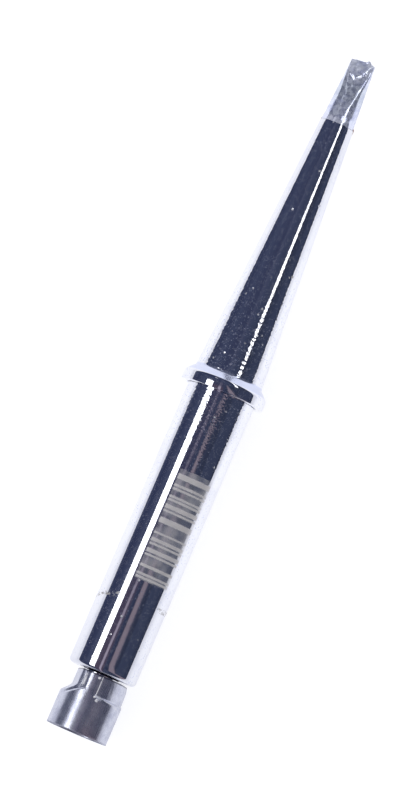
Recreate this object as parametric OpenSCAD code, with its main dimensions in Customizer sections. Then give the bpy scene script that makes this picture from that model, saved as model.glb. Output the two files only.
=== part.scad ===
// Soldering iron tip: a plated copper chisel tip with a seating flange, a plain
// shank and a tail spigot, and a thin steel sleeve crimped over the spigot that
// holds the magnetic slug by which the iron senses the tip's temperature.
//
// The tool axis lies along X, with the working end towards +X. The origin is on
// that axis in the plane of the flange's rear face, where the iron's nut seats
// the tip. The two ground flats of the chisel face +Z and -Z.
// Dimensions are in millimetres and angles in degrees.

/* [Shank] */
// Diameter of the plain shank that slides into the iron's barrel
shank_d = 7.0; // [5:0.1:10]
// Length of the shank, from the flange's rear face to its own rear face
shank_len = 29.7; // [15:0.1:40]
// Radius of the rounded edge at the shank's rear end
shank_edge_r = 0.45; // [0.1:0.05:1]

/* [Flange] */
// Diameter of the flange that the iron's nut presses on
flange_d = 8.7; // [7.5:0.1:12]
// Length of the flange's cylindrical rim
rim_len = 1.1; // [0.6:0.05:2]
// Length of the conical front face, along the axis
chamfer_len = 0.75; // [0.4:0.05:1.5]
// Radius of the rounded edge between the rim and the conical front face
rim_front_r = 0.4; // [0.05:0.05:0.45]
// Radius of the broken edge at the rim's rear
rim_rear_r = 0.1; // [0.05:0.05:0.3]
// Depth of the groove turned into the rear face, around the shank
relief_depth = 0.1; // [0.02:0.02:0.2]
// Width of that groove
relief_w = 0.15; // [0.1:0.05:0.3]

/* [Taper] */
// Diameter of the taper where it leaves the flange
taper_base_d = 7.0; // [5:0.1:9]
// Diameter that the plated taper would have at the working end
taper_end_d = 2.6; // [1:0.1:5]
// Length of the taper, from the flange's front to the working end
taper_len = 33.7; // [15:0.1:50]
// Radius of the fillet at the taper's base
taper_fillet_r = 0.35; // [0.1:0.05:1]

/* [Working end] */
// Length at the working end where the copper's iron coat is bare of plating
bare_len = 6.6; // [3:0.1:10]
// Radial step from the plated surface down to the bare metal
plating_step = 0.15; // [0.05:0.01:0.3]
// Thickness of the chisel's edge
chisel_t = 0.5; // [0.3:0.05:1.5]
// Angle between one ground flat and the tool axis
chisel_angle = 15.7; // [8:0.1:30]

/* [Tinning] */
// Thickness of the solder that wets the bare end
tin_t = 0.08; // [0.04:0.01:0.12]
// How far the solder stops short of the plating's edge
tin_gap = 0.05; // [0:0.01:0.2]
// Radius of the balls that the solder beads are cut from
bead_r = 0.55; // [0.3:0.05:0.8]
// Height of a solder bead over the tinned flat
bead_h = 0.1; // [0.05:0.01:0.3]
// Radius of the drop of solder that stands on the chisel's edge
drop_r = 0.3; // [0.15:0.05:0.4]
// How far that drop stands out past the tinned edge
drop_h = 0.32; // [0.1:0.02:0.5]
// Distance of that drop from the tool axis
drop_side = 0.57; // [0:0.01:0.8]

/* [Tail] */
// Diameter of the neck behind the shank
neck_d = 3.6; // [3:0.1:5]
// Radius of the fillet at the neck's root
neck_fillet_r = 0.1; // [0.05:0.05:0.3]
// Gap between the shank's rear face and the sleeve
sleeve_gap = 0.2; // [0.1:0.05:0.6]
// Radial clearance of the spigot's head and the slug in the sleeve
head_clear = 0.02; // [0.01:0.01:0.05]
// Length of the bevel at the head's rear edge
head_bevel = 0.15; // [0.05:0.05:0.4]

/* [Sensor sleeve] */
// Outside diameter of the sleeve
sleeve_d = 6.25; // [5:0.05:8]
// Wall thickness of the sleeve
sleeve_wall = 0.3; // [0.15:0.05:0.5]
// Length of the sleeve
sleeve_len = 6.05; // [4:0.05:9]
// Number of crimps pressed around the sleeve's front
crimp_count = 3; // [2:1:4]
// How deep the crimping jaws press
crimp_depth = 0.95; // [0.2:0.05:1]
// Length of the flat that a jaw leaves
crimp_flat = 1.5; // [0.5:0.05:2]
// Length of the ramp from that flat back to the round sleeve
crimp_ramp = 1.0; // [0.3:0.05:2]
// Turn of the first crimp from the upper chisel flat
crimp_turn = -72; // [-180:1:180]

/* [Sensor slug] */
// Length of the magnetic slug
slug_len = 1.8; // [1:0.1:3]
// How far the slug sits inside the sleeve's rear rim
slug_recess = 0.2; // [0:0.05:0.6]

/* [Hidden] */

$fn = 96;

shank_r = shank_d / 2;
flange_r = flange_d / 2;
sleeve_r = sleeve_d / 2;
neck_r = neck_d / 2;
head_r = sleeve_r - sleeve_wall - head_clear;

// Stations along the tool axis, from the flange's rear face towards the tip
rim_front = rim_len;
flange_front = rim_len + chamfer_len;
tip_end = flange_front + taper_len;
bare_start = tip_end - bare_len;
shank_rear = -shank_len;
sleeve_front = shank_rear - sleeve_gap;
sleeve_rear = sleeve_front - sleeve_len;
head_front = sleeve_front - crimp_flat - crimp_ramp;
slug_rear = sleeve_rear + slug_recess;
head_rear = slug_rear + slug_len;

// Radius of the plated taper at a station
function taper_r(z) =
    taper_end_d / 2 + (taper_base_d - taper_end_d) / 2 * (tip_end - z) / taper_len;

// Points of an arc about c as [radius, station], from angle a0 to angle a1
function arc(c, r, a0, a1, steps = 6) =
    [for (i = [0:steps]) let (a = a0 + (a1 - a0) * i / steps) c + r * [cos(a), sin(a)]];

taper_angle = atan((taper_base_d - taper_end_d) / 2 / taper_len);
chamfer_angle = atan((flange_r - taper_base_d / 2) / chamfer_len);

// Length that a fillet of radius r takes up along each side of a corner
function fillet_reach(r, turn) = r * tan(turn / 2);

// Centre of the rounding between the rim and the conical front face
rim_round_c = [flange_r - rim_front_r,
               rim_front - fillet_reach(rim_front_r, chamfer_angle)];

// Centre of the fillet between the conical front face and the taper
fillet_turn = chamfer_angle - taper_angle;
fillet_c = [taper_r(flange_front) + taper_fillet_r * cos(taper_angle)
                - fillet_reach(taper_fillet_r, fillet_turn) * sin(taper_angle),
            flange_front + taper_fillet_r * sin(taper_angle)
                + fillet_reach(taper_fillet_r, fillet_turn) * cos(taper_angle)];

// Carries a shape from the tool axis onto X, with the flats facing +Z and -Z
module place() {
    rotate([180, 0, 0]) rotate([0, 90, 0]) children();
}

// Half of the turned outline, from the spigot's head to the working end
module turned_outline() {
    polygon(concat(
        [[0, head_rear], [head_r - head_bevel, head_rear],
         [head_r, head_rear + head_bevel], [head_r, head_front],
         [neck_r, head_front]],
        arc([neck_r + neck_fillet_r, shank_rear - neck_fillet_r], neck_fillet_r, 180, 90),
        arc([shank_r - shank_edge_r, shank_rear + shank_edge_r], shank_edge_r, 270, 360),
        [[shank_r, relief_depth], [shank_r + relief_w, relief_depth],
         [shank_r + relief_w, 0]],
        arc([flange_r - rim_rear_r, rim_rear_r], rim_rear_r, 270, 360, 3),
        arc(rim_round_c, rim_front_r, 0, chamfer_angle, 4),
        arc(fillet_c, taper_fillet_r, 180 + chamfer_angle, 180 + taper_angle),
        [[taper_r(bare_start), bare_start],
         [taper_r(bare_start) - plating_step, bare_start],
         [taper_end_d / 2 - plating_step, tip_end], [0, tip_end]]
    ));
}

// What is ground away over one flat of the chisel, with a skin left on it
module ground_block(skin) {
    size = bare_len * 3;
    translate([0, 0, tip_end]) rotate([0, -chisel_angle, 0])
        translate([chisel_t / 2 * cos(chisel_angle) + skin, -size / 2, -size])
            cube([size, size, 2 * size]);
}

module chisel(skin = 0) {
    difference() {
        children();
        ground_block(skin);
        mirror([1, 0, 0]) ground_block(skin);
    }
}

// Iron-coated copper in one turned piece, chrome-plated up to the bare end
module tip_body() {
    color("Gainsboro") place()
        chisel() rotate_extrude() turned_outline();
}

// The bare end grown by the thickness of the solder
module tinned_form() {
    chisel(tin_t) rotate_extrude() polygon([
        [0, bare_start + tin_gap],
        [taper_r(bare_start) - plating_step, bare_start + tin_gap],
        [taper_r(bare_start) - plating_step + tin_t, bare_start + tin_gap + tin_t],
        [taper_end_d / 2 - plating_step + tin_t, tip_end + tin_t / 2],
        [taper_end_d / 2 - plating_step, tip_end + tin_t], [0, tip_end + tin_t]
    ]);
}

// A bead of solder on the upper flat, back from the edge and to one side
module bead(back, side) {
    rise = chisel_t / 2 + tin_t + back * tan(chisel_angle);
    translate([0, side, tip_end - back]) intersection() {
        translate([rise + bead_h - bead_r, 0, 0]) sphere(r = bead_r);
        translate([0, -bead_r, -bead_r]) cube(2 * bead_r);
    }
}

// The drop of solder on the chisel's edge, rooted half way into the tinning
module edge_drop() {
    root = tip_end + tin_t / 2;
    top = tip_end + tin_t + drop_h;
    translate([0, drop_side, 0]) rotate_extrude()
        polygon(concat([[0, root], [drop_r, root]], arc([0, top - drop_r], drop_r, 10, 90)));
}

module solder_tinning() {
    color("DarkGray") place()
        difference() {
            union() {
                tinned_form();
                bead(0.75, 0.45);
                bead(1.3, -0.25);
                mirror([1, 0, 0]) bead(0.8, -0.4);
                edge_drop();
            }
            chisel() rotate_extrude() turned_outline();
        }
}

// Magnetic slug that loses its pull on the iron's switch at the set temperature
module sensor_slug() {
    color("DimGray") place()
        translate([0, 0, slug_rear]) cylinder(r = head_r, h = slug_len);
}

// What one crimping jaw presses in, seen from the side and carried across
module crimp_jaw(inset) {
    flat_at = sleeve_r - crimp_depth - inset;
    slope = crimp_depth / crimp_ramp;
    over = 1;
    rotate([90, 0, 0]) linear_extrude(height = sleeve_d, center = true) polygon([
        [flat_at, sleeve_front + over],
        [flat_at, sleeve_front - crimp_flat],
        [flat_at + crimp_depth + over, sleeve_front - crimp_flat - crimp_ramp - over / slope],
        [flat_at + crimp_depth + over, sleeve_front + over]
    ]);
}

// The crimped tube, drawn in from its outside by an inset
module sleeve_form(inset, over) {
    difference() {
        translate([0, 0, sleeve_rear - over])
            cylinder(r = sleeve_r - inset, h = sleeve_len + 2 * over);
        for (i = [0:crimp_count - 1])
            rotate([0, 0, crimp_turn + i * 360 / crimp_count]) crimp_jaw(inset);
    }
}

module sensor_sleeve() {
    color("Silver") place()
        difference() {
            sleeve_form(0, 0);
            sleeve_form(sleeve_wall, 0.5);
        }
}

tip_body();
solder_tinning();
sensor_slug();
sensor_sleeve();
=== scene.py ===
"""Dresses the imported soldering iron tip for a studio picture.

The tip lies along X with the working end towards +X, and one flat of the chisel faces up.
Everything is in metres. Azimuth is measured about the tool axis, from straight up (+Z)
towards -Y, which is the right of the picture when the working end points up in it.
"""

import math

import bmesh
import bpy
import numpy as np
from mathutils import Matrix, Vector, noise


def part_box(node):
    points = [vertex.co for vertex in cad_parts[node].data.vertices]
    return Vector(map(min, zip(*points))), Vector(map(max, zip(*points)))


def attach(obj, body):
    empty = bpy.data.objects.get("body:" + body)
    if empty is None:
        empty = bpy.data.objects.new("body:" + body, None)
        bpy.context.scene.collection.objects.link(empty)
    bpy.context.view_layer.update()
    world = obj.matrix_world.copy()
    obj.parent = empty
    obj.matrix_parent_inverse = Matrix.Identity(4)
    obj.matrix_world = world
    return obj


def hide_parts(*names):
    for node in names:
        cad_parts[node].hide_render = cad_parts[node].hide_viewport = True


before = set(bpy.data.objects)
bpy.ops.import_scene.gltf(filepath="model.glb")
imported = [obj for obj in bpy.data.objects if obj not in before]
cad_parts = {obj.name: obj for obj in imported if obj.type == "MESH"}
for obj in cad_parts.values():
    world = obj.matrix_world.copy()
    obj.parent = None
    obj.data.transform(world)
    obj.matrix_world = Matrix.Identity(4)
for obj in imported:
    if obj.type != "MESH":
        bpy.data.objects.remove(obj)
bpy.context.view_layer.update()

MM = 0.001

# Stations and radii of the turned body, in metres, from the flange's rear face
body_low, body_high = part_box("tip_body")
TIP_END = body_high[0]
HEAD_REAR = body_low[0]
FLANGE_R = body_high[2]
SHANK_R = 3.5 * MM
SHANK_REAR = -29.7 * MM
SHANK_EDGE_R = 0.45 * MM
RIM_LEN = 1.1 * MM
CHAMFER_LEN = 0.75 * MM
RIM_FRONT_R = 0.4 * MM
RIM_REAR_R = 0.1 * MM
RIM_CROWN_R = 7 * MM
RELIEF_DEPTH = 0.1 * MM
RELIEF_W = 0.15 * MM
TAPER_FILLET_R = 0.35 * MM
TAPER_BASE_R = 3.5 * MM
TAPER_END_R = 1.3 * MM
NECK_R = 1.8 * MM
NECK_FILLET_R = 0.1 * MM
HEAD_R = 2.805 * MM
HEAD_LEN = 1.55 * MM
HEAD_BEVEL = 0.15 * MM

# The bare working end and the solder on it
BARE_LEN = 6.6 * MM
PLATING_STEP = 0.15 * MM
PLATING_EDGE_R = 0.05 * MM
CHISEL_T = 0.5 * MM
CHISEL_ANGLE = math.radians(15.7)
TIN_T = 0.08 * MM

# The drop of solder on the chisel's edge, in mm: how far it stands out, and its place across
tin_low, tin_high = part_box("solder_tinning")
DROP_RISE = (tin_high[0] - TIP_END - TIN_T) / MM
DROP_SIDE = 0.57

# The crimped sleeve and the slug in it
sleeve_low, sleeve_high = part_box("sensor_sleeve")
slug_low, slug_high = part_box("sensor_slug")
SLEEVE_REAR = sleeve_low[0]
SLEEVE_FRONT = sleeve_high[0]
SLEEVE_R = 3.125 * MM
SLEEVE_WALL = 0.3 * MM
RIM_ROUND = 0.04 * MM

FLANGE_FRONT = RIM_LEN + CHAMFER_LEN
BARE_START = TIP_END - BARE_LEN
TAPER_ANGLE = math.atan((TAPER_BASE_R - TAPER_END_R) / (TIP_END - FLANGE_FRONT))
CHAMFER_ANGLE = math.atan((FLANGE_R - TAPER_BASE_R) / CHAMFER_LEN)

# The photograph: its size, and where the tool axis lies in it
IMAGE_W, IMAGE_H = 405, 800
MM_PER_PX = 0.09776
AXIS_MIDDLE = -0.31 * MM
AXIS_MIDDLE_PX = (220.0, 398.0)
AXIS_LEAN = math.radians(23.23)
VIEW_TURN = math.radians(5)
VIEW_TILT = math.radians(5)
VIEW_DISTANCE = 0.6

AROUND = 384


def taper_r(x):
    """Radius of the plated taper at a station."""
    share = (TIP_END - x) / (TIP_END - FLANGE_FRONT)
    return TAPER_END_R + (TAPER_BASE_R - TAPER_END_R) * share


def arc(centre, radius, start, end, steps=10):
    """Points (radius, station) of an arc, with angles in radians from the radial direction."""
    angles = [start + (end - start) * i / steps for i in range(steps + 1)]
    return [(centre[0] + radius * math.cos(a), centre[1] + radius * math.sin(a)) for a in angles]


def soft_min(a, b, k):
    """The lesser of two lengths, blended over a length k where they cross."""
    blend = np.clip((k - np.abs(a - b)) / k, 0, 1)
    return np.minimum(a, b) - blend * blend * k / 4


def ease(value):
    """A smooth rise from 0 to 1."""
    value = np.clip(value, 0, 1)
    return value * value * (3 - 2 * value)


def point(x, radius, azimuth):
    """A point or an array of points at a station, radius and azimuth."""
    x, radius, azimuth = np.broadcast_arrays(x, radius, azimuth)
    return np.stack([x, -radius * np.sin(azimuth), radius * np.cos(azimuth)], axis=-1)


def mesh_of_rings(name, rings, close_start=True, close_end=True, join_ends=False):
    """A mesh from rings of points, closed around, with its ends shut by fans or joined to each other."""
    rings = np.asarray(rings)
    count, around, _ = rings.shape
    verts = rings.reshape(-1, 3).tolist()
    step = np.arange(around)
    after = (step + 1) % around
    faces = []
    pairs = [(i, i + 1) for i in range(count - 1)]
    if join_ends:
        pairs.append((count - 1, 0))
    for low, high in pairs:
        quads = np.stack([low * around + step, low * around + after,
                          high * around + after, high * around + step], axis=1)
        faces.extend(quads.tolist())
    if close_start and not join_ends:
        verts.append(rings[0].mean(axis=0).tolist())
        hub = len(verts) - 1
        faces.extend([[hub, int(b), int(a)] for a, b in zip(step, after)])
    if close_end and not join_ends:
        verts.append(rings[-1].mean(axis=0).tolist())
        hub = len(verts) - 1
        base = (count - 1) * around
        faces.extend([[hub, int(base + a), int(base + b)] for a, b in zip(step, after)])
    mesh = bpy.data.meshes.new(name)
    mesh.from_pydata(verts, [], faces)
    mesh.validate()
    piece = bpy.data.objects.new(name, mesh)
    bpy.context.scene.collection.objects.link(piece)
    return piece


def finish_piece(piece, material, sharp_deg=32):
    """Shades a piece smooth with sharp edges kept, with its material and its faces pointed outwards."""
    mesh = piece.data
    mesh.materials.clear()
    mesh.materials.append(material)
    shell = bmesh.new()
    shell.from_mesh(mesh)
    bmesh.ops.recalc_face_normals(shell, faces=shell.faces)
    shell.to_mesh(mesh)
    shell.free()
    mesh.shade_smooth()
    mesh.set_sharp_from_angle(angle=math.radians(sharp_deg))
    return piece


class Nodes:
    """A short way to write a material's node tree."""

    def __init__(self, tree):
        self.tree = tree

    def add(self, kind, **settings):
        node = self.tree.nodes.new(kind)
        for key, value in settings.items():
            setattr(node, key, value)
        return node

    def link(self, source, target):
        if isinstance(source, (int, float)):
            target.default_value = source
        else:
            self.tree.links.new(source, target)

    def math(self, operation, a, b=0.0, c=0.0, clamp=False):
        node = self.add("ShaderNodeMath", operation=operation, use_clamp=clamp)
        for value, socket in zip((a, b, c), node.inputs):
            self.link(value, socket)
        return node.outputs[0]

    def noise(self, vector, scale, detail=3.0, roughness=0.5):
        node = self.add("ShaderNodeTexNoise")
        self.link(vector, node.inputs["Vector"])
        node.inputs["Scale"].default_value = scale
        node.inputs["Detail"].default_value = detail
        node.inputs["Roughness"].default_value = roughness
        return node.outputs[0]

    def remap(self, value, low, high, to_low=0.0, to_high=1.0, smooth=True):
        node = self.add("ShaderNodeMapRange")
        node.interpolation_type = "SMOOTHSTEP" if smooth else "LINEAR"
        self.link(value, node.inputs["Value"])
        limits = {"From Min": low, "From Max": high, "To Min": to_low, "To Max": to_high}
        for socket, number in limits.items():
            node.inputs[socket].default_value = number
        return node.outputs[0]

    def mix_colour(self, factor, a, b):
        node = self.add("ShaderNodeMix", data_type="RGBA")
        self.link(factor, node.inputs["Factor"])
        for value, socket in ((a, node.inputs[6]), (b, node.inputs[7])):
            if isinstance(value, tuple):
                socket.default_value = (*value, 1.0)
            else:
                self.tree.links.new(value, socket)
        return node.outputs[2]

    def bump(self, height, distance, normal=None):
        node = self.add("ShaderNodeBump")
        node.inputs["Strength"].default_value = 1.0
        node.inputs["Distance"].default_value = distance
        self.link(height, node.inputs["Height"])
        if normal is not None:
            self.tree.links.new(normal, node.inputs["Normal"])
        return node.outputs[0]

    def band(self, value, low, high, soft):
        """1 between low and high, falling to 0 over a soft edge on each side."""
        rise = self.remap(value, low - soft, low + soft)
        fall = self.remap(value, high - soft, high + soft, 1.0, 0.0)
        return self.math("MULTIPLY", rise, fall)

    def spot_at(self, place, x, radius, azimuth, size):
        """1 at a mark on the skin, falling to 0 at its edge."""
        away = self.add("ShaderNodeVectorMath", operation="DISTANCE")
        self.link(place, away.inputs[0])
        away.inputs[1].default_value = tuple(point(x, radius, azimuth))
        return self.remap(away.outputs["Value"], size * 0.5, size, 1.0, 0.0)

    def axis_coordinates(self):
        """The object's coordinates, its station along the axis, and its azimuth."""
        place = self.add("ShaderNodeTexCoord").outputs["Object"]
        parts = self.add("ShaderNodeSeparateXYZ")
        self.link(place, parts.inputs[0])
        x, y, z = parts.outputs
        azimuth = self.math("ARCTAN2", self.math("MULTIPLY", y, -1.0), z)
        return place, x, azimuth

    def stretched(self, place, along, around):
        """Object coordinates scaled along the tool axis and across it."""
        node = self.add("ShaderNodeMapping")
        self.link(place, node.inputs["Vector"])
        node.inputs["Scale"].default_value = (along, around, around)
        return node.outputs[0]


# Nicks in the plating: station and radius in mm, azimuth in degrees, and size in mm
CHROME_NICKS = (
    (19.3, 2.36, -14, 0.14),
    (9.7, 3.0, -62, 0.12),
    (-25.9, 3.5, -7, 0.12),
    (-23.9, 3.5, -2, 0.16),
    (-26.3, 3.5, 49, 0.12),
)
# Dark marks on the plating, written in the same way
CHROME_STAINS = (
    (13.2, 2.79, 47, 0.17),
    (13.0, 2.8, 40, 0.11),
)


def metal(name):
    """A new metallic material: its nodes and its main shader."""
    material = bpy.data.materials.new(name)
    material.use_nodes = True
    shader = material.node_tree.nodes["Principled BSDF"]
    shader.inputs["Metallic"].default_value = 1.0
    return material, Nodes(material.node_tree), shader


def chrome_material():
    """Bright plating: slight waviness, turning marks, pits, dust, a scuff ring and an etched code."""
    material, n, shader = metal("chrome_plate")
    place, x, azimuth = n.axis_coordinates()

    # Satin bars of uneven width etched on the shank, in place of any name
    code_end, code_start = -19.9 * MM, -8.4 * MM
    bar_pitch = 1.15 * MM
    count = n.math("DIVIDE", n.math("SUBTRACT", x, code_end), bar_pitch)
    pick = n.add("ShaderNodeTexWhiteNoise", noise_dimensions="1D")
    n.link(n.math("FLOOR", count), pick.inputs["W"])
    phase = n.math("FRACT", count)
    wide = n.remap(pick.outputs["Value"], 0.0, 1.0, 0.3, 0.85, smooth=False)
    past = n.math("SUBTRACT", phase, wide)
    bar = n.math("MULTIPLY", n.remap(phase, 0.02, 0.18), n.remap(past, -0.09, 0.09, 1.0, 0.0))
    slit = n.math("MULTIPLY", n.band(phase, 0.3, 0.42, 0.06), n.remap(pick.outputs["Value"], 0.55, 0.6))
    bar = n.math("MULTIPLY", bar, n.math("SUBTRACT", 1.0, slit))
    patch = n.math("MULTIPLY", n.band(x, code_end, code_start, 0.02 * MM),
                   n.band(azimuth, math.radians(-8), math.radians(52), 0.03))
    grain = n.noise(place, 5000.0, 2.0)
    haze = n.remap(n.noise(place, 700.0, 2.0), 0.35, 0.65, 0.12, 0.36)
    etched = n.math("MAXIMUM", n.math("MULTIPLY", bar, n.remap(grain, 0.3, 0.6, 0.75, 0.95)), haze)
    etched = n.math("MULTIPLY", etched, patch)

    # A scuff on both sides of the shank, which runs back on the left and is broken up by noise
    left = n.math("MAXIMUM", n.math("SUBTRACT", -0.29, azimuth), 0.0)
    slant = n.math("MULTIPLY_ADD", left, 0.87 * MM, x)
    ring = n.band(slant, -22.12 * MM, -21.72 * MM, 0.16 * MM)
    right = n.remap(azimuth, 0.84, 0.9, 0.0, 0.8)
    sides = n.math("MAXIMUM", n.remap(azimuth, -0.34, -0.27, 1.0, 0.0), right)
    broken = n.remap(n.noise(n.stretched(place, 3600.0, 2600.0), 1.0, 4.0, 0.6), 0.46, 0.62)
    scuff = n.math("MULTIPLY", n.math("MULTIPLY", ring, broken), sides)
    for station, radius, degrees, size in CHROME_STAINS:
        stain = n.spot_at(place, station * MM, radius * MM, math.radians(degrees), size * MM)
        scuff = n.math("MAXIMUM", scuff, n.math("MULTIPLY", stain, 0.9))

    # Sparse round pits, and specks of dust that lie more thickly in patches
    cells = n.add("ShaderNodeTexVoronoi")
    n.link(place, cells.inputs["Vector"])
    cells.inputs["Scale"].default_value = 1300.0
    spot = n.remap(cells.outputs["Distance"], 0.06, 0.2, 1.0, 0.0)
    parts = n.add("ShaderNodeSeparateColor")
    n.link(cells.outputs["Color"], parts.inputs[0])
    foot = n.math("MULTIPLY", n.remap(x, 4 * MM, 18 * MM, 1.0, 0.0), n.remap(x, 1.9 * MM, 2.4 * MM))
    grime = n.math("MULTIPLY", n.remap(x, -10 * MM, -1 * MM), n.remap(x, 0.0, 0.1 * MM, 1.0, 0.0))
    chance = n.math("MULTIPLY_ADD", n.math("MAXIMUM", foot, grime), 0.3, parts.outputs[0])
    pits = n.math("MULTIPLY", spot, n.remap(chance, 0.9, 0.92))
    for station, radius, degrees, size in CHROME_NICKS:
        nick = n.spot_at(place, station * MM, radius * MM, math.radians(degrees), size * MM)
        pits = n.math("MAXIMUM", pits, nick)
    specks = n.add("ShaderNodeTexVoronoi")
    n.link(place, specks.inputs["Vector"])
    specks.inputs["Scale"].default_value = 3300.0
    dots = n.remap(specks.outputs["Distance"], 0.1, 0.3, 1.0, 0.0)
    patches = n.remap(n.noise(place, 330.0, 3.0), 0.42, 0.68, 0.1, 0.8)
    patches = n.math("MAXIMUM", patches, n.math("MAXIMUM", foot, n.math("MULTIPLY", grime, 0.7)))
    # A band over the flange's front rounding and chamfer is made duller and lavender, like the dust,
    # which lightens it.
    corner = n.band(x, 1.25 * MM, 1.95 * MM, 0.2 * MM)
    fine = n.remap(n.noise(place, 2400.0, 3.0, 0.7), 0.5, 0.7)
    dust = n.math("MULTIPLY", n.math("MULTIPLY", dots, patches), 0.24)
    dust = n.math("MAXIMUM", dust, n.math("MULTIPLY", fine, 0.04))
    dust = n.math("MAXIMUM", dust, n.math("MULTIPLY", corner, 0.2))

    smudge = n.remap(n.noise(place, 420.0, 4.0), 0.45, 0.75)
    rough = n.math("MULTIPLY_ADD", smudge, 0.035, 0.06)
    rough = n.math("MULTIPLY_ADD", pits, 0.2, rough)
    rough = n.math("MULTIPLY_ADD", scuff, 0.35, rough)
    rough = n.math("MULTIPLY_ADD", etched, 0.34, rough, clamp=True)
    n.link(rough, shader.inputs["Roughness"])

    dull = n.math("MAXIMUM", n.math("MULTIPLY", scuff, 0.85), n.math("MULTIPLY", etched, 0.6))
    dull = n.math("MAXIMUM", dull, n.math("MAXIMUM", dust, n.math("MULTIPLY", pits, 0.35)))
    n.link(n.math("SUBTRACT", 1.0, dull), shader.inputs["Metallic"])

    tone = n.mix_colour(smudge, (0.84, 0.85, 0.90), (0.78, 0.79, 0.86))
    tone = n.mix_colour(n.remap(dust, 0.0, 0.1), tone, (0.66, 0.70, 0.88))
    tone = n.mix_colour(scuff, tone, (0.30, 0.29, 0.30))
    tone = n.mix_colour(etched, tone, (0.60, 0.58, 0.585))
    n.link(tone, shader.inputs["Base Color"])

    # Slight waviness, turning marks, and ripples left by the tool near the foot of the taper
    peel = n.noise(n.stretched(place, 1800.0, 2200.0), 1.0, 2.0)
    height = n.bump(peel, 1.6e-6)
    turning = n.noise(n.stretched(place, 22000.0, 60.0), 1.0, 2.0)
    height = n.bump(turning, 0.12e-6, height)
    turns = n.math("MULTIPLY", x, 2 * math.pi / (0.5 * MM))
    along = n.math("MULTIPLY_ADD", n.noise(place, 900.0, 1.0), 8.0, turns)
    uneven = n.remap(n.noise(place, 600.0, 1.0), 0.35, 0.6, 0.3, 1.1)
    near = n.math("MULTIPLY", n.math("MULTIPLY", foot, foot), uneven)
    height = n.bump(n.math("MULTIPLY", n.math("SINE", along), near), 2.3e-6, height)
    ragged = n.math("MULTIPLY", n.remap(x, 6 * MM, 15 * MM, 0.6, 0.27), n.remap(x, 2 * MM, 2.1 * MM))
    rough_zone = n.math("MAXIMUM", ragged, n.math("MULTIPLY", grime, 0.7))
    grains = n.noise(place, 4600.0, 1.0)
    height = n.bump(n.math("MULTIPLY", grains, rough_zone), 1.5e-5, height)
    height = n.bump(pits, -6e-6, height)
    height = n.bump(etched, -4e-6, height)
    n.tree.links.new(height, shader.inputs["Normal"])
    return material


def sleeve_material():
    """Drawn stainless steel, brushed along the tube and rubbed around it, with a painted shade line at
    the front rim and painted highlights on the crimps' creases and marks.
    """
    material, n, shader = metal("sleeve_steel")
    place, x, azimuth = n.axis_coordinates()
    brushed = n.noise(n.stretched(place, 700.0, 9000.0), 1.0, 4.0, 0.6)
    rubbed = n.noise(n.stretched(place, 9000.0, 700.0), 1.0, 3.0, 0.6)
    cloud = n.noise(place, 1100.0, 5.0, 0.65)
    tone = n.mix_colour(n.remap(cloud, 0.38, 0.66), (0.68, 0.70, 0.80), (0.53, 0.55, 0.665))
    tone = n.mix_colour(n.remap(brushed, 0.55, 0.75, 0.0, 0.3), tone, (0.45, 0.46, 0.54))
    behind = n.math("MULTIPLY_ADD", x, -1.0, SLEEVE_FRONT)
    heat = n.math("MULTIPLY", n.remap(x, SLEEVE_REAR + 0.2 * MM, SLEEVE_REAR + 1.6 * MM, 0.4, 0.0),
                  n.band(azimuth, math.radians(6), math.radians(46), 0.2))
    tone = n.mix_colour(heat, tone, (0.62, 0.50, 0.57))
    # Painted shade: a dark, cloudy band along the front rim stands in for the shade of the gap before the
    # shank.
    edge = n.math("MULTIPLY_ADD", cloud, 0.16 * MM, 0.03 * MM)
    edge = n.remap(n.math("SUBTRACT", behind, edge), 0.0, 0.04 * MM, 0.9, 0.0)
    tone = n.mix_colour(edge, tone, (0.16, 0.16, 0.20))
    # Painted highlights: a light, less metallic line along the right crease, an arch, the ridge's left
    # flank and spots at the jaw marks stand in for glints of light.
    line = n.math("MULTIPLY", n.band(azimuth, math.radians(9.8), math.radians(11.4), 0.008),
                  n.band(behind, 0.1 * MM, 2.0 * MM, 0.1 * MM))
    bow = n.math("MULTIPLY", n.math("MAXIMUM", n.math("SUBTRACT", azimuth, 0.3), 0.0), -0.55 * MM)
    arch = n.math("MULTIPLY", n.band(n.math("ADD", behind, bow), 1.98 * MM, 2.08 * MM, 0.06 * MM),
                  n.band(azimuth, 0.2, 1.3, 0.1))
    flank = n.math("MULTIPLY", n.band(azimuth, math.radians(-24), math.radians(-17.5), 0.03),
                   n.band(behind, 0.3 * MM, 1.55 * MM, 0.15 * MM))
    wear_and_painted_highlight = n.math("MAXIMUM", line, n.math("MULTIPLY", arch, 0.5))
    wear_and_painted_highlight = n.math("MAXIMUM", wear_and_painted_highlight, n.math("MULTIPLY", flank, 0.7))
    for back, degrees, size in ((0.32, 4.5, 0.17), (2.46, 15, 0.2), (2.2, 9, 0.14)):
        spot = n.spot_at(place, SLEEVE_FRONT - back * MM, SLEEVE_R, math.radians(degrees), size * MM)
        wear_and_painted_highlight = n.math("MAXIMUM", wear_and_painted_highlight, spot)
    wear_and_painted_highlight = n.math("MULTIPLY", wear_and_painted_highlight, n.remap(n.noise(place, 3000.0, 2.0), 0.3, 0.5, 0.4, 1.0))
    n.link(n.mix_colour(wear_and_painted_highlight, tone, (0.93, 0.93, 0.97)), shader.inputs["Base Color"])
    n.link(n.math("MULTIPLY_ADD", wear_and_painted_highlight, -0.55, 0.95), shader.inputs["Metallic"])
    rough = n.math("MULTIPLY_ADD", n.remap(brushed, 0.3, 0.7), 0.09, 0.245)
    rim = n.remap(x, SLEEVE_REAR + 0.05 * MM, SLEEVE_REAR + 0.12 * MM, 0.35, 0.0)
    n.link(n.math("ADD", rough, rim), shader.inputs["Roughness"])
    height = n.bump(brushed, 1.2e-6)
    height = n.bump(rubbed, 1.3e-6, height)
    n.tree.links.new(height, shader.inputs["Normal"])
    return material


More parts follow.
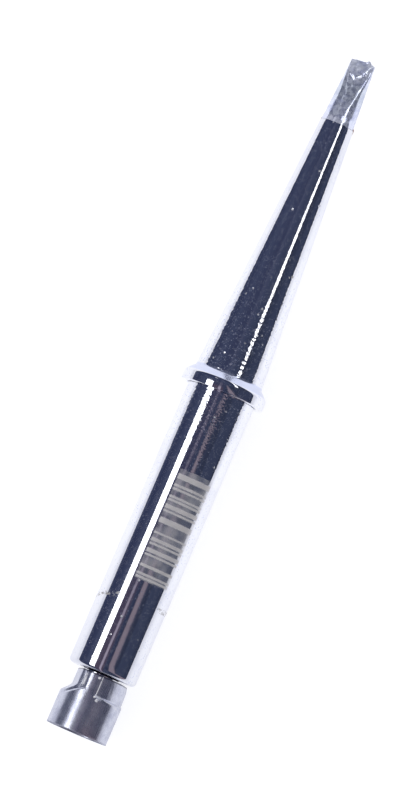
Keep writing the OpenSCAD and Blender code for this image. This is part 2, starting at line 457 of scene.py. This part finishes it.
def solder_material():
    """Used solder: half bright, wrinkled, with dull oxide in patches."""
    material, n, shader = metal("solder")
    place, x, azimuth = n.axis_coordinates()
    fine = n.noise(place, 6000.0, 4.0, 0.6)
    cloud = n.noise(place, 1500.0, 3.0)
    oxide = n.remap(cloud, 0.42, 0.66)
    tone = n.mix_colour(oxide, (0.81, 0.85, 1.0), (0.58, 0.62, 0.84))
    middle = n.band(x, TIP_END - 4.3 * MM, TIP_END - 2.3 * MM, 0.7 * MM)
    tone = n.mix_colour(n.math("MULTIPLY", middle, 0.45), tone, (0.52, 0.58, 0.66))
    crust = n.math("ADD", x, n.math("MULTIPLY", n.math("SUBTRACT", cloud, 0.5), 0.9 * MM))
    residue = n.remap(crust, BARE_START + 0.25 * MM, BARE_START + 0.65 * MM, 1.0, 0.0)
    streaks = n.remap(n.noise(n.stretched(place, 500.0, 4200.0), 1.0, 3.0), 0.35, 0.6, 0.6, 1.0)
    residue = n.math("MULTIPLY", residue, streaks)
    residue = n.math("MULTIPLY", residue, n.remap(azimuth, 0.15, 0.4, 1.0, 0.25))
    n.link(n.mix_colour(residue, tone, (0.78, 0.80, 0.96)), shader.inputs["Base Color"])
    wear_and_painted_highlight = n.remap(x, TIP_END - 1.7 * MM, TIP_END - 0.5 * MM, 0.0, 0.19)
    stains = n.remap(n.noise(place, 2300.0, 3.0), 0.38, 0.64, 0.17, 0.35)
    dull = n.math("MAXIMUM", n.math("ADD", wear_and_painted_highlight, stains), n.math("MULTIPLY", residue, 0.53))
    n.link(n.math("SUBTRACT", 1.0, dull), shader.inputs["Metallic"])
    rough = n.math("MULTIPLY_ADD", oxide, 0.1, 0.12)
    n.link(rough, shader.inputs["Roughness"])
    height = n.bump(cloud, 9e-6)
    height = n.bump(fine, 2.5e-6, height)
    n.tree.links.new(height, shader.inputs["Normal"])
    return material


def slug_material():
    """Dull nickel-iron with rings left by the lathe on its face."""
    material, n, shader = metal("slug_metal")
    place, x, azimuth = n.axis_coordinates()
    flat = n.add("ShaderNodeVectorMath", operation="MULTIPLY")
    n.link(place, flat.inputs[0])
    flat.inputs[1].default_value = (0.0, 1.0, 1.0)
    reach = n.add("ShaderNodeVectorMath", operation="LENGTH")
    n.link(flat.outputs[0], reach.inputs[0])
    rings = n.math("SINE", n.math("MULTIPLY", reach.outputs["Value"], 2 * math.pi / (0.11 * MM)))
    cloud = n.noise(place, 900.0, 4.0)
    tone = n.mix_colour(n.remap(cloud, 0.35, 0.7), (0.40, 0.38, 0.36), (0.24, 0.22, 0.21))
    n.link(tone, shader.inputs["Base Color"])
    rough = n.math("MULTIPLY_ADD", n.remap(cloud, 0.3, 0.7), 0.2, 0.32)
    n.link(rough, shader.inputs["Roughness"])
    height = n.bump(rings, 1.2e-6)
    height = n.bump(cloud, 8e-6, height)
    n.tree.links.new(height, shader.inputs["Normal"])
    return material


def flux_material():
    """Burnt flux: a dark brown glaze."""
    material = bpy.data.materials.new("burnt_flux")
    material.use_nodes = True
    n = Nodes(material.node_tree)
    shader = material.node_tree.nodes["Principled BSDF"]
    place = n.add("ShaderNodeTexCoord").outputs["Object"]
    cloud = n.noise(place, 5000.0, 3.0)
    tone = n.mix_colour(n.remap(cloud, 0.4, 0.65), (0.62, 0.48, 0.45), (0.84, 0.76, 0.75))
    n.link(tone, shader.inputs["Base Color"])
    shader.inputs["Roughness"].default_value = 0.45
    n.tree.links.new(n.bump(cloud, 1e-5), shader.inputs["Normal"])
    return material


def turned_profile():
    """The turned outline (radius, station) from the spigot's head to the edge of the plating."""
    reach = RIM_FRONT_R * math.tan(CHAMFER_ANGLE / 2)
    crown_start, crown_end = 0.55 * MM, RIM_LEN - reach
    crown = [(FLANGE_R - (x - crown_start) ** 2 / (2 * RIM_CROWN_R), x)
             for x in np.linspace(crown_start, crown_end, 8)]
    crown_lean = math.atan((crown_end - crown_start) / RIM_CROWN_R)
    rim_centre = (crown[-1][0] - RIM_FRONT_R * math.cos(crown_lean),
                  crown_end - RIM_FRONT_R * math.sin(crown_lean))
    fillet_reach = TAPER_FILLET_R * math.tan((CHAMFER_ANGLE - TAPER_ANGLE) / 2)
    fillet_centre = (
        TAPER_BASE_R + TAPER_FILLET_R * math.cos(TAPER_ANGLE) - fillet_reach * math.sin(TAPER_ANGLE),
        FLANGE_FRONT + TAPER_FILLET_R * math.sin(TAPER_ANGLE) + fillet_reach * math.cos(TAPER_ANGLE),
    )
    turn = math.pi
    head_front = HEAD_REAR + HEAD_LEN
    points = [(HEAD_R - HEAD_BEVEL, HEAD_REAR), (HEAD_R, HEAD_REAR + HEAD_BEVEL),
              (HEAD_R, head_front), (NECK_R, head_front)]
    points += arc((NECK_R + NECK_FILLET_R, SHANK_REAR - NECK_FILLET_R), NECK_FILLET_R, turn, turn / 2)
    shank_edge = (SHANK_R - SHANK_EDGE_R, SHANK_REAR + SHANK_EDGE_R)
    points += arc(shank_edge, SHANK_EDGE_R, 1.5 * turn, 2 * turn, 16)
    points += [(SHANK_R, x) for x in np.linspace(SHANK_REAR + 1 * MM, -1 * MM, 24)]
    points += [(SHANK_R, RELIEF_DEPTH), (SHANK_R + RELIEF_W, RELIEF_DEPTH), (SHANK_R + RELIEF_W, 0)]
    points += arc((FLANGE_R - RIM_REAR_R, RIM_REAR_R), RIM_REAR_R, 1.5 * turn, 2 * turn, 8)
    points += crown[:-1]
    points += arc(rim_centre, RIM_FRONT_R, crown_lean, CHAMFER_ANGLE, 12)
    points += arc(fillet_centre, TAPER_FILLET_R, turn + CHAMFER_ANGLE, turn + TAPER_ANGLE, 12)
    points += [(taper_r(x), x) for x in np.linspace(FLANGE_FRONT + 1 * MM, BARE_START - 0.3 * MM, 30)]
    edge = (taper_r(BARE_START) - PLATING_EDGE_R, BARE_START - PLATING_EDGE_R)
    points += arc(edge, PLATING_EDGE_R, TAPER_ANGLE, turn / 2, 8)
    points += [(taper_r(BARE_START) - PLATING_STEP, BARE_START)]
    return points


def chisel_section(x, skin, rounding):
    """One ring of the working end at a station, evenly spaced around, over bare metal by a skin."""
    cone = taper_r(x) - PLATING_STEP + skin
    flat = CHISEL_T / 2 + max(TIP_END - x, 0) * math.tan(CHISEL_ANGLE) + skin / math.cos(CHISEL_ANGLE)

    def radius(azimuth):
        lean = np.maximum(np.abs(np.cos(azimuth)), 1e-6)
        return soft_min(np.full_like(azimuth, cone), flat / lean, rounding)

    fine = np.linspace(0, 2 * math.pi, 4001)
    trace = point(x, radius(fine), fine)
    run = np.concatenate([[0], np.cumsum(np.linalg.norm(np.diff(trace, axis=0), axis=1))])
    even = np.interp(np.linspace(0, run[-1], AROUND + 1)[:-1], run, fine)
    return point(x, radius(even), even)


def tip_body():
    """The plated body with its bare chisel under the solder."""
    azimuths = np.linspace(0, 2 * math.pi, AROUND + 1)[:-1]
    rings = [point(x, r, azimuths) for r, x in turned_profile()]
    rings += [chisel_section(x, 0.0, 0.02 * MM) for x in np.linspace(BARE_START, TIP_END, 40)]
    return mesh_of_rings("plated_body", rings)


def lump(places, centre, spread, height):
    """A rounded rise at a centre, for points given as (back from the end, side)."""
    reach = ((places - np.array(centre)) / np.array(spread)) ** 2
    return height * np.exp(-reach.sum(axis=-1))


def pool(back, side, centre, reach, height, rim):
    """A flat-topped puddle of solder with a raised rim and a pointed rear."""
    across = (side - centre[1]) / reach[1]
    along = (back - centre[0]) / (reach[0] * (1 - 0.25 * np.clip(np.abs(across), 0, 1.2)))
    distance = np.sqrt(across ** 2 + np.where(along > 0, along, 0.4 * along) ** 2)
    inside = 1 / (1 + np.exp((distance - 1) / 0.055))
    edge = np.exp(-((distance - 0.86) / 0.13) ** 2)
    return height * inside + rim * edge


def flat_half_width(back):
    """Half the width of the chisel's flat at a distance in mm back from its end."""
    cone = (TAPER_END_R - PLATING_STEP + TIN_T) / MM + back * math.tan(TAPER_ANGLE)
    flat = (CHISEL_T / 2 + TIN_T / math.cos(CHISEL_ANGLE)) / MM + back * math.tan(CHISEL_ANGLE)
    return np.sqrt(np.maximum(cone ** 2 - flat ** 2, 0))


def flat_sided_bead(back, side, place, height, reach):
    """A bead whose rear left side is a flat through a place (back, side), in mm."""
    behind, right = back - place[0], side - place[1]
    rise = height / 2 - 0.42 * behind + 0.28 * right
    for slope in (height, 0.6 * (right + reach), 0.45 * (1.8 * reach - right),
                  0.5 * (behind + 1.6 * reach)):
        rise = soft_min(rise, slope, 0.02)
    return np.maximum(rise, 0)


def end_pool(back, side, places):
    """Height in mm of the puddle on the upper flat: a plateau cut off by slopes, pointed at the rear."""
    behind = 2.04 - back
    right = 0.8 - 0.31 * (back - 0.35)
    height = np.full_like(back, 0.15)
    for slope in (0.46 * behind + 0.37 * (side + 0.15),
                  0.40 * behind - 0.45 * (side + 0.15) + 0.03,
                  0.20 * behind - 0.25 * (side + 0.15) + 0.07,
                  0.30 * (side + 0.95),
                  0.45 * (right + 0.34 - side),
                  0.07 + 0.3 * back):
        height = soft_min(height, slope, 0.035)
    height = -soft_min(-height, np.zeros_like(height), 0.03)
    dips = lump(places, (0.98, -0.38), (0.26, 0.2), 0.05)
    dips += lump(places, (1.06, 0.13), (0.24, 0.16), 0.045)
    height = height - dips + lump(places, (0.93, -0.66), (0.17, 0.2), 0.065)
    beads = np.maximum(flat_sided_bead(back, side, (1.1, 0.67), 0.13, 0.2),
                       flat_sided_bead(back, side, (0.38, 0.74), 0.09, 0.16))
    return -soft_min(-height, -beads, 0.03)


def ripple(points, scale, seed):
    """Smooth noise from -1 to 1 for an array of points."""
    offset = Vector((seed * 3.1, seed * 1.7, seed * 2.3))
    values = [noise.noise(Vector(p) * scale + offset) for p in points.reshape(-1, 3)]
    return np.array(values).reshape(points.shape[:-1])


def solder_coat():
    """The solder over the bare end: a meniscus at the plating, a film, and pools and beads at the end."""
    round_r = 0.13 * MM
    side_end = TIP_END + TIN_T - round_r
    stations = np.concatenate([
        BARE_START + np.array([0.0, 0.01, 0.03, 0.06, 0.1, 0.15, 0.22, 0.3]) * MM,
        np.linspace(BARE_START + 0.4 * MM, side_end, 150),
    ])
    rings = []
    for x in stations:
        climb = 0.06 * MM * math.exp(-(x - BARE_START) / (0.35 * MM))
        rings.append(chisel_section(x, TIN_T + climb, 0.26 * MM))
    last = rings[-1]
    hub = last.mean(axis=0)
    spokes = last - hub
    lengths = np.linalg.norm(spokes, axis=1, keepdims=True)
    for a in np.linspace(0, math.pi / 2, 9)[1:]:
        shrink = np.maximum(lengths - round_r * (1 - math.cos(a)), 0) / lengths
        rings.append(hub + spokes * shrink + np.array([round_r * math.sin(a), 0, 0]))
    top = rings[-1]
    for share in np.linspace(1, 0.04, 22)[1:]:
        rings.append(hub + (top - hub) * np.array([1, share, share]))
    rings = np.array(rings)

    # Outward directions, from the neighbours along and around
    around = np.roll(rings, -1, axis=1) - np.roll(rings, 1, axis=1)
    along = np.gradient(rings, axis=0)
    out = np.cross(along, around)
    out /= np.maximum(np.linalg.norm(out, axis=-1, keepdims=True), 1e-12)
    if (out[60, 0] * np.array([0, 0, 1])).sum() < 0:
        out = -out

    back = (TIP_END - rings[..., 0]) / MM
    side = -rings[..., 1] / MM
    upper = np.clip(out[..., 2] * 4 - 0.6, 0, 1)
    lower = np.clip(-out[..., 2] * 4 - 0.6, 0, 1)
    ahead = np.clip(out[..., 0] * 2 - 0.6, 0, 1)
    places = np.stack([back, side], axis=-1)

    # The film is thickest in the middle of each flat
    half_width = flat_half_width(np.maximum(back, 0))
    share = np.clip(1 - (side / np.maximum(half_width, 0.05)) ** 2, 0, 1)
    lens = 0.05 * ease(half_width / 0.9) * share ** 1.5
    rise = upper * (lens + end_pool(back, side, places)
                    + lump(places, (2.62, -0.17), (0.13, 0.12), 0.075))
    rise += lower * (lens + pool(back, side, (0.5, 0.1), (1.1, 0.95), 0.05, 0.05)
                     + lump(places, (0.7, -0.5), (0.3, 0.3), 0.1))

    # A flat blob where the solder meets the plating
    off = side - 0.52
    patch = np.exp(-(off / 0.48) ** 4) * np.exp(-((back - 6.02) / 0.3) ** 4)
    rise += upper * (0.3 * off ** 2 + 0.06 * (back - 6.02)) * patch

    # The end bulges forward to one side, where a drop stands on it
    most = DROP_RISE - 0.04
    rise += ahead * (0.3 * most * np.exp(-((side - 0.45) / 0.5) ** 2)
                     + 0.7 * most * np.exp(-((side - DROP_SIDE) / 0.21) ** 4)
                     - 0.05 * np.exp(-((side + 1.0) / 0.25) ** 2))
    near_end = np.clip(1.2 - back / 2.2, 0, 1)
    smooth = np.exp(-((back - 1.1) / 0.3) ** 4 - ((side - 0.67) / 0.3) ** 4)
    smooth = 1 - 0.75 * np.maximum(smooth, patch)
    calm = np.clip((rings[..., 0] - BARE_START) / (0.3 * MM), 0, 1) * smooth
    rise += calm * (0.005 + 0.004 * near_end) * ripple(rings, 2600.0, 3)
    rise += upper * smooth * ease((1.75 - back) / 0.3) * 0.005 * ripple(rings, 3400.0, 12)
    rise += calm * 0.006 * ripple(rings, 900.0, 7)
    rings = rings + out * (rise * MM)[..., None]
    rings[..., 0] = soft_min(rings[..., 0], np.full_like(rings[..., 0], tin_high[0]), 0.04 * MM)
    return mesh_of_rings("solder_coat", rings)


# Each crimp: azimuth in degrees, distance of its face from the axis, radius of the face's own
# crown, where it ends behind the front edge, length of the ramp, and softness of its sides, in mm
CRIMPS = (
    {"at": -79, "face": 2.15, "crown": 40.0, "ends": 1.5, "ramp": 1.6, "soft": 0.16},
    {"at": 58.3, "face": 2.733, "crown": 4.18, "ends": 1.95, "ramp": 0.42, "soft": 0.04},
    {"at": 167, "face": 2.2, "crown": 30.0, "ends": 1.5, "ramp": 1.1, "soft": 0.2},
)
# The ridge between the two crimps that the camera sees: azimuth in degrees from the camera's side,
# and how far in mm the skin lies inside the round tube there
RIDGE = ((-60, 0.0), (-45, -0.12), (-28, -0.147), (-24, -0.128), (-20.4, -0.085), (-18.2, -0.0345),
         (-14.6, -0.008), (-11.5, 0.0), (-8, -0.001), (-5.5, -0.0056), (0, -0.0253), (3.7, -0.0468),
         (6.8, -0.077), (60, -0.077), (100, 0.0))


def ridge_shift(behind, azimuth):
    """How far the skin stands out from the round tube beside the ridge, in mm."""
    turn = np.degrees(np.mod(azimuth - VIEW_TURN + math.pi, 2 * math.pi) - math.pi)
    shift = np.interp(turn, [a for a, _ in RIDGE], [b for _, b in RIDGE], left=0, right=0)

    # The left crimp's margin ends at a crease that runs back and then round to the left
    crease = 1.85 + 0.029 * np.maximum(-18.7 - turn, 0)
    left = ease((crease - behind) / 0.26)
    right = 1 - ease((behind - 1.7) / 0.8)
    return shift * (left + (right - left) * ease((turn + 19) / 8))


def sleeve_radius(x, azimuth, inset):
    """Radius of the crimped tube at a station and azimuth, drawn in by an inset."""
    behind = (SLEEVE_FRONT - x) / MM
    full = SLEEVE_R / MM
    radius = full - inset / MM + ridge_shift(behind, azimuth)
    for crimp in CRIMPS:
        lift = ease((behind - crimp["ends"]) / crimp["ramp"])
        face = crimp["face"] + (full + crimp["soft"] + 0.05 - crimp["face"]) * lift
        crown = crimp["crown"]
        away = azimuth - math.radians(crimp["at"])
        set_back = face - inset / MM - crown
        bend = np.sqrt(np.maximum(crown ** 2 - (set_back * np.sin(away)) ** 2, 0))
        reach = set_back * np.cos(away) + bend
        facing = np.cos(away) > 0.1
        radius = np.where(facing, soft_min(radius, reach, crimp["soft"]), radius)
    return radius * MM


def crimp_marks(behind, azimuth):
    """Small marks that the jaws left besides their faces, in mm outwards."""
    turn = np.degrees(azimuth - VIEW_TURN)
    marks = 0.05 * np.exp(-((behind - 2.46) / 0.1) ** 2 - ((turn - 10) / 2.2) ** 2)
    marks += 0.03 * np.exp(-((behind - 2.2) / 0.07) ** 2 - ((turn - 3.5) / 4.0) ** 2)
    marks += 0.04 * np.exp(-((behind - 0.32) / 0.09) ** 2 - ((turn + 0.5) / 1.8) ** 2)
    marks += 0.02 * np.exp(-((turn - 5.5) / 0.8) ** 2) * ease((2.0 - behind) / 0.2)
    curl = -0.28 * np.exp(-behind / 0.42) * np.exp(-((turn - 92) / 26) ** 2)
    return marks + curl


def sleeve():
    """The crimped steel tube, outside and inside, with slightly rounded rims."""
    azimuths = np.linspace(0, 2 * math.pi, 600 + 1)[:-1]
    corner = np.linspace(0, math.pi / 2, 4)
    fine_end = SLEEVE_FRONT - 3.0 * MM
    outside = np.concatenate([np.linspace(SLEEVE_FRONT - RIM_ROUND, fine_end, 92),
                              np.linspace(fine_end, SLEEVE_REAR + RIM_ROUND, 14)[1:]])
    inside = np.linspace(SLEEVE_REAR + RIM_ROUND, SLEEVE_FRONT - RIM_ROUND, 36)
    inner = SLEEVE_WALL
    round_off = [(RIM_ROUND * (1 - math.sin(a)), RIM_ROUND * (1 - math.cos(a))) for a in corner]
    front = [(SLEEVE_FRONT - step, depth) for step, depth in round_off]
    rear = [(SLEEVE_REAR + step, depth) for step, depth in round_off]
    rows = front[::-1] + [(x, 0.0) for x in outside[1:-1]] + rear
    rows += [(x, inner - depth) for x, depth in rear[::-1]]
    rows += [(x, inner) for x in inside[1:-1]]
    rows += [(x, inner - depth) for x, depth in front]
    rings = np.array([point(x, sleeve_radius(x, azimuths, inset), azimuths) for x, inset in rows])

    # The marks go through the wall, so that it keeps its thickness
    behind = (SLEEVE_FRONT - rings[..., 0]) / MM
    azimuth = np.arctan2(-rings[..., 1], rings[..., 2])
    round_place = point(rings[..., 0], SLEEVE_R, azimuth)
    crimped = np.clip(1.3 - behind / 2.4, 0, 1)
    shift = crimp_marks(behind, azimuth) - 0.012 * crimped * np.abs(ripple(round_place, 2100.0, 5))
    shift -= 0.004 * np.abs(ripple(round_place, 600.0, 9))
    outward = rings * np.array([0, 1, 1])
    outward /= np.linalg.norm(outward, axis=-1, keepdims=True)
    rings = rings + outward * (shift * MM)[..., None]
    return mesh_of_rings("crimped_sleeve", rings, join_ends=True)


def slug():
    """The magnetic slug, with a small bevel at each end."""
    radius, bevel = slug_high[2], 0.06 * MM
    profile = [(0.3 * MM, slug_low[0])]
    profile += [(r, slug_low[0]) for r in np.linspace(0.6 * MM, radius - bevel, 12)]
    profile += [(radius, slug_low[0] + bevel), (radius, slug_high[0] - bevel)]
    profile += [(radius - bevel, slug_high[0])]
    azimuths = np.linspace(0, 2 * math.pi, 192 + 1)[:-1]
    return mesh_of_rings("slug", [point(x, r, azimuths) for r, x in profile])


def flux_crumbs():
    """Burnt flux clinging to the edge of the plating, thickest at the sides."""
    # Azimuth in degrees, size in mm, and how far past the plating's edge in mm
    crumbs = ((92, 0.09, 0.02), (97, 0.08, -0.2), (88, 0.06, -0.1), (82, 0.07, 0.12), (101, 0.07, 0.1),
              (-84, 0.05, 0.05), (170, 0.08, 0.02), (128, 0.06, 0.04))
    cluster = bmesh.new()
    for index, (azimuth, size, past) in enumerate(crumbs):
        station = BARE_START + past * MM
        centre = Vector(point(station, taper_r(BARE_START) - 0.02 * MM, math.radians(azimuth)))
        ball = bmesh.ops.create_icosphere(cluster, subdivisions=3, radius=size * MM)
        for vert in ball["verts"]:
            wobble = 1 + 0.45 * noise.noise(vert.co * 7000 + Vector((index * 5.0, 0, 0)))
            vert.co = centre + Vector((vert.co.x * 1.6, vert.co.y, vert.co.z)) * wobble
    mesh = bpy.data.meshes.new("flux_crumbs")
    cluster.to_mesh(mesh)
    cluster.free()
    piece = bpy.data.objects.new("flux_crumbs", mesh)
    bpy.context.scene.collection.objects.link(piece)
    return piece


def view_axes():
    """The camera's right, up and back directions, and the middle of the tool axis."""
    axis = Vector((1, 0, 0))
    upright = Vector((0, -math.sin(VIEW_TURN), math.cos(VIEW_TURN)))
    back = upright * math.cos(VIEW_TILT) - axis * math.sin(VIEW_TILT)
    along = (axis - back * axis.dot(back)).normalized()
    across = along.cross(back)
    up = along * math.cos(AXIS_LEAN) - across * math.sin(AXIS_LEAN)
    right = along * math.sin(AXIS_LEAN) + across * math.cos(AXIS_LEAN)
    return right, up, back


def add_camera():
    right, up, back = view_axes()
    middle = Vector((AXIS_MIDDLE, 0, 0))
    off_x = IMAGE_W / 2 - AXIS_MIDDLE_PX[0]
    off_y = AXIS_MIDDLE_PX[1] - IMAGE_H / 2
    aim = middle + (right * off_x + up * off_y) * MM_PER_PX * MM
    data = bpy.data.cameras.new("camera")
    data.sensor_fit = "VERTICAL"
    data.sensor_height = 24.0
    data.lens = data.sensor_height * VIEW_DISTANCE / (IMAGE_H * MM_PER_PX * MM)
    data.clip_start = 0.01
    data.clip_end = 50.0
    camera = bpy.data.objects.new("camera", data)
    bpy.context.scene.collection.objects.link(camera)
    turn = Matrix((right, up, back)).transposed().to_4x4()
    camera.matrix_world = Matrix.Translation(aim + back * VIEW_DISTANCE) @ turn
    bpy.context.scene.camera = camera


def seen_share(n):
    """1 for what the camera, a gloss or a clear body sees, and 0 for the light that falls on things."""
    path = n.add("ShaderNodeLightPath")
    seen = n.math("MAXIMUM", path.outputs["Is Camera Ray"], path.outputs["Is Glossy Ray"])
    return n.math("MAXIMUM", seen, path.outputs["Is Transmission Ray"])


def add_world():
    """White where it is seen, and plain soft light on everything."""
    world = bpy.data.worlds.new("studio")
    bpy.context.scene.world = world
    world.use_nodes = True
    n = Nodes(world.node_tree)
    background = world.node_tree.nodes["Background"]
    background.inputs["Color"].default_value = (1.0, 1.0, 1.0, 1.0)
    n.link(n.remap(seen_share(n), 0.0, 1.0, 0.85, 1.0, smooth=False), background.inputs["Strength"])


def add_floor():
    """A plain white table that keeps a faint shadow; seen in reflections, its far part is painted dimmer
    and bluer, a painted shade.
    """
    reach = 6.0
    mesh = bpy.data.meshes.new("table")
    height = -FLANGE_R
    mesh.from_pydata([(-reach, -reach, height), (reach, -reach, height), (reach, reach, height),
                      (-reach, reach, height)], [], [(0, 1, 2, 3)])
    floor = bpy.data.objects.new("table", mesh)
    bpy.context.scene.collection.objects.link(floor)
    material = bpy.data.materials.new("table_white")
    material.use_nodes = True
    n = Nodes(material.node_tree)
    material.node_tree.nodes.remove(material.node_tree.nodes["Principled BSDF"])
    diffuse = n.add("ShaderNodeBsdfDiffuse")
    diffuse.inputs["Color"].default_value = (0.42, 0.42, 0.44, 1.0)
    glow = n.add("ShaderNodeEmission")
    place = n.add("ShaderNodeTexCoord").outputs["Object"]
    away = n.add("ShaderNodeVectorMath", operation="LENGTH")
    n.link(place, away.inputs[0])
    glossy = n.add("ShaderNodeLightPath").outputs["Is Glossy Ray"]
    parts = n.add("ShaderNodeSeparateXYZ")
    n.link(place, parts.inputs[0])
    # Painted shade for reflections only: away from the tool the table is dimmer and bluer to gloss rays.
    far = n.math("MULTIPLY", n.remap(away.outputs["Value"], 0.012, 0.06), glossy)
    far = n.math("MULTIPLY", far, n.remap(parts.outputs[0], 0.02, 0.05, 1.0, 0.3))
    n.link(n.mix_colour(far, (0.97, 0.975, 1.0), (0.88, 0.90, 1.0)), glow.inputs["Color"])
    strength = n.math("MULTIPLY", seen_share(n), n.math("MULTIPLY_ADD", far, -0.3, 0.72))
    n.link(strength, glow.inputs["Strength"])
    both = n.add("ShaderNodeAddShader")
    n.link(diffuse.outputs[0], both.inputs[0])
    n.link(glow.outputs[0], both.inputs[1])
    n.link(both.outputs[0], material.node_tree.nodes["Material Output"].inputs["Surface"])
    mesh.materials.append(material)


def add_lamp(name, swing, width, leans, reach, radiance):
    """A strip lamp parallel to the tool axis, sized by the angles that it spans as seen from the tip.

    Its swing and width are angles about the axis from the camera's side, and its leans are how far
    its two ends lie towards the working end. Reach is its distance from the axis.
    """
    low, high = (reach * math.tan(math.radians(lean)) for lean in leans)
    turn = VIEW_TURN + math.radians(swing)
    away = Vector((0, -math.sin(turn), math.cos(turn)))
    along = Vector((1, 0, 0))
    data = bpy.data.lights.new(name, "AREA")
    data.shape = "RECTANGLE"
    data.size = 2 * reach * math.tan(math.radians(width / 2))
    data.size_y = high - low
    data.energy = radiance * math.pi * data.size * data.size_y
    lamp = bpy.data.objects.new(name, data)
    bpy.context.scene.collection.objects.link(lamp)
    facing = Matrix((along.cross(away), along, away)).transposed().to_4x4()
    lamp.matrix_world = Matrix.Translation(away * reach + along * (low + high) / 2) @ facing


def add_dark_room():
    """A dark shell over the table that only bright metal sees: the unlit room around the lamps."""
    radius, steps = 3.0, 64
    verts, faces = [], []
    rows = steps // 4
    for i in range(rows + 1):
        rise = math.pi / 2 * i / rows
        for j in range(steps):
            turn = 2 * math.pi * j / steps
            level = radius * math.cos(rise)
            verts.append((level * math.cos(turn), level * math.sin(turn),
                          radius * math.sin(rise) - FLANGE_R))
    for i in range(rows):
        for j in range(steps):
            k = (j + 1) % steps
            faces.append((i * steps + j, i * steps + k, (i + 1) * steps + k, (i + 1) * steps + j))
    mesh = bpy.data.meshes.new("dark_room")
    mesh.from_pydata(verts, [], faces)
    room = bpy.data.objects.new("dark_room", mesh)
    bpy.context.scene.collection.objects.link(room)
    for ray in ("camera", "diffuse", "transmission", "volume_scatter", "shadow"):
        setattr(room, "visible_" + ray, False)

    material = bpy.data.materials.new("dark_room")
    material.use_nodes = True
    n = Nodes(material.node_tree)
    material.node_tree.nodes.remove(material.node_tree.nodes["Principled BSDF"])
    place = n.add("ShaderNodeTexCoord").outputs["Object"]
    parts = n.add("ShaderNodeSeparateXYZ")
    n.link(place, parts.inputs[0])
    x, y, z = parts.outputs
    swing = n.math("SUBTRACT", n.math("ARCTAN2", n.math("MULTIPLY", y, -1.0), z), VIEW_TURN)
    cloud = n.noise(place, 0.9, 2.0)
    left = n.mix_colour(n.remap(cloud, 0.35, 0.65), (0.034, 0.042, 0.090), (0.056, 0.068, 0.125))
    right = n.mix_colour(n.remap(cloud, 0.35, 0.65), (0.024, 0.030, 0.056), (0.042, 0.052, 0.095))
    tone = n.mix_colour(n.remap(swing, math.radians(-35), math.radians(45)), left, right)
    # Dim glowing streaks on the shell, which only reflections show: a warm stripe, a blush towards the
    # rear and a light line.
    low = n.remap(x, 0.36, 0.5, 1.0, 0.0)
    drift = n.math("MULTIPLY_ADD", n.math("SUBTRACT", x, 0.12), 0.53, swing)
    narrowing = n.math("MULTIPLY_ADD", n.math("SUBTRACT", x, 0.12), 0.87, drift)
    warm = n.math("MULTIPLY", n.remap(drift, math.radians(8), math.radians(13)),
                  n.remap(narrowing, math.radians(22), math.radians(28), 1.0, 0.0))
    warm = n.math("MULTIPLY", warm, low)
    tone = n.mix_colour(n.math("MULTIPLY", warm, 0.9), tone, (0.25, 0.205, 0.245))
    rear = n.math("MULTIPLY", n.remap(x, 0.06, 0.24, 1.0, 0.15), n.remap(x, 0.4, 0.5, 1.0, 0.2))
    blush = n.math("MULTIPLY", n.band(swing, math.radians(-34), math.radians(-2), 0.05), rear)
    tone = n.mix_colour(n.math("MULTIPLY", blush, 0.5), tone, (0.115, 0.075, 0.10))
    line = n.math("MULTIPLY", n.band(swing, math.radians(-15.5), math.radians(-8.5), 0.025), rear)
    tone = n.mix_colour(line, tone, (0.37, 0.32, 0.40))
    glow = n.add("ShaderNodeEmission")
    n.link(tone, glow.inputs["Color"])
    glow.inputs["Strength"].default_value = 1.0
    n.link(glow.outputs[0], material.node_tree.nodes["Material Output"].inputs["Surface"])
    mesh.materials.append(material)


add_camera()
add_world()
add_floor()
add_dark_room()
add_lamp("window_lamp", swing=-41.4, width=18.0, leans=(-32, 6), reach=0.45, radiance=2.9)
add_lamp("strip_lamp", swing=28.4, width=9.5, leans=(12.3, 82), reach=0.35, radiance=2.0)
add_lamp("side_lamp", swing=-31, width=8, leans=(23, 38), reach=0.4, radiance=0.45)

body = finish_piece(tip_body(), chrome_material())
coat = finish_piece(solder_coat(), solder_material(), sharp_deg=60)
tube = finish_piece(sleeve(), sleeve_material(), sharp_deg=50)
core = finish_piece(slug(), slug_material())
crumbs = finish_piece(flux_crumbs(), flux_material(), sharp_deg=60)

for piece, node, slot in (
    (body, "tip_body", "chrome_plate"),
    (coat, "solder_tinning", "solder"),
    (tube, "sensor_sleeve", "sleeve_steel"),
    (core, "sensor_slug", "slug_metal"),
):
    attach(piece, "root")
    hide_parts(node)
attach(crumbs, "root")

bpy.context.scene.view_settings.view_transform = "Standard"
bpy.context.view_layer.update()
